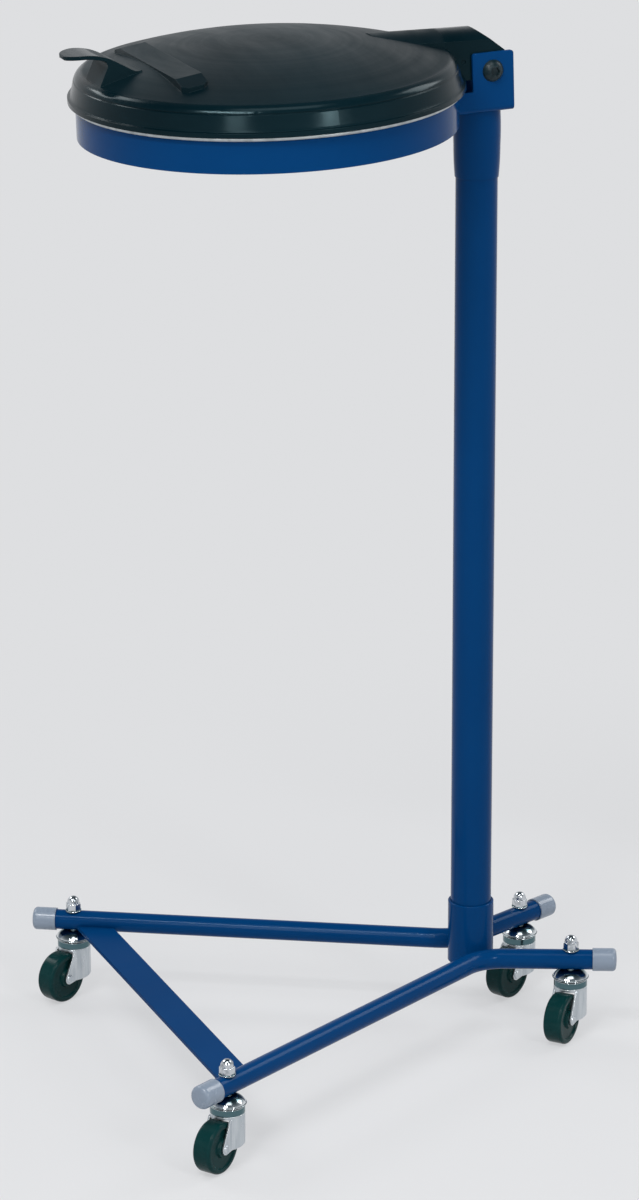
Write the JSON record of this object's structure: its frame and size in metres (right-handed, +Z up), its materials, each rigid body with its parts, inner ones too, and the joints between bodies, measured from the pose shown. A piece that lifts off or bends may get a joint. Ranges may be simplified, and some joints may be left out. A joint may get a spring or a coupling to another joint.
{
  "type": "mobile sack stand",
  "caption": "Wheeled stand with a hinged lid that holds a refuse sack open in a ring and covers it.",
  "frame": {"origin": "on the floor, under the middle of the whole stand with its lid closed", "axes": "+Z up; -Y towards the lid's grip, away from the column; X runs across the two legs"},
  "size_m": [0.5013, 0.5352, 1.0126],
  "materials": {
    "blue_paint": "gloss",
    "black_plastic": "semi-gloss",
    "grey_plastic": "matte",
    "wheel_plastic": "satin",
    "zinc_steel": "zinc plated",
    "chrome_steel": "bright plated",
    "galvanised_steel": "galvanised",
    "black_steel": "black oxide"
  },
  "bodies": {
    "stand": {"base_tube_left": "blue_paint", "base_tube_right": "blue_paint", "brace_bar": "blue_paint", "base_socket": "blue_paint", "column_tube": "blue_paint", "head_collar": "blue_paint", "hinge_bracket": "blue_paint", "ring_band": "blue_paint", "clamp_hoop": "galvanised_steel", "hinge_bolt": "black_steel", "hinge_nut": "zinc_steel", "hinge_spacer": "zinc_steel", "end_cap_front_left": "grey_plastic", "end_cap_front_right": "grey_plastic", "end_cap_rear_left": "grey_plastic", "end_cap_rear_right": "grey_plastic", "castor_front_left_cup": "chrome_steel", "castor_front_left_stud": "zinc_steel", "castor_front_left_washer": "chrome_steel", "castor_front_left_cap_nut": "chrome_steel", "castor_front_right_cup": "chrome_steel", "castor_front_right_stud": "zinc_steel", "castor_front_right_washer": "chrome_steel", "castor_front_right_cap_nut": "chrome_steel", "castor_rear_left_cup": "chrome_steel", "castor_rear_left_stud": "zinc_steel", "castor_rear_left_washer": "chrome_steel", "castor_rear_left_cap_nut": "chrome_steel", "castor_rear_right_cup": "chrome_steel", "castor_rear_right_stud": "zinc_steel", "castor_rear_right_washer": "chrome_steel", "castor_rear_right_cap_nut": "chrome_steel"},
    "lid": {"lid_shell": "black_plastic"},
    "fork_front_left": {"castor_front_left_fork": "zinc_steel", "castor_front_left_axle": "zinc_steel", "castor_front_left_race": "chrome_steel"},
    "wheel_front_left": {"castor_front_left_wheel": "wheel_plastic"},
    "fork_front_right": {"castor_front_right_fork": "zinc_steel", "castor_front_right_axle": "zinc_steel", "castor_front_right_race": "chrome_steel"},
    "wheel_front_right": {"castor_front_right_wheel": "wheel_plastic"},
    "fork_rear_left": {"castor_rear_left_fork": "zinc_steel", "castor_rear_left_axle": "zinc_steel", "castor_rear_left_race": "chrome_steel"},
    "wheel_rear_left": {"castor_rear_left_wheel": "wheel_plastic"},
    "fork_rear_right": {"castor_rear_right_fork": "zinc_steel", "castor_rear_right_axle": "zinc_steel", "castor_rear_right_race": "chrome_steel"},
    "wheel_rear_right": {"castor_rear_right_wheel": "wheel_plastic"}
  },
  "joints": [
    {"name": "lid_hinge", "type": "hinge", "parent": "stand", "child": "lid", "pos_m": [0, 0.14586, 0.96953], "axis": [-1, 0, 0], "range_deg": [0, 100]},
    {"name": "swivel_front_left", "type": "hinge", "parent": "stand", "child": "fork_front_left", "pos_m": [-0.22017, -0.19813, 0.07], "axis": [0, 0, 1], "continuous": true},
    {"name": "roll_front_left", "type": "hinge", "parent": "fork_front_left", "child": "wheel_front_left", "pos_m": [-0.21078, -0.21579, 0.025], "axis": [0.8829, 0.4695, 0], "continuous": true},
    {"name": "swivel_front_right", "type": "hinge", "parent": "stand", "child": "fork_front_right", "pos_m": [0.22017, -0.19813, 0.07], "axis": [0, 0, 1], "continuous": true},
    {"name": "roll_front_right", "type": "hinge", "parent": "fork_front_right", "child": "wheel_front_right", "pos_m": [0.23164, -0.21452, 0.025], "axis": [0.8192, 0.5736, 0], "continuous": true},
    {"name": "swivel_rear_left", "type": "hinge", "parent": "stand", "child": "fork_rear_left", "pos_m": [-0.06239, 0.22325, 0.07], "axis": [0, 0, 1], "continuous": true},
    {"name": "roll_rear_left", "type": "hinge", "parent": "fork_rear_left", "child": "wheel_rear_left", "pos_m": [-0.05254, 0.20585, 0.025], "axis": [0.8704, 0.4924, 0], "continuous": true},
    {"name": "swivel_rear_right", "type": "hinge", "parent": "stand", "child": "fork_rear_right", "pos_m": [0.06239, 0.22325, 0.07], "axis": [0, 0, 1], "continuous": true},
    {"name": "roll_rear_right", "type": "hinge", "parent": "fork_rear_right", "child": "wheel_rear_right", "pos_m": [0.07551, 0.20816, 0.025], "axis": [0.7547, 0.6561, 0], "continuous": true}
  ]
}
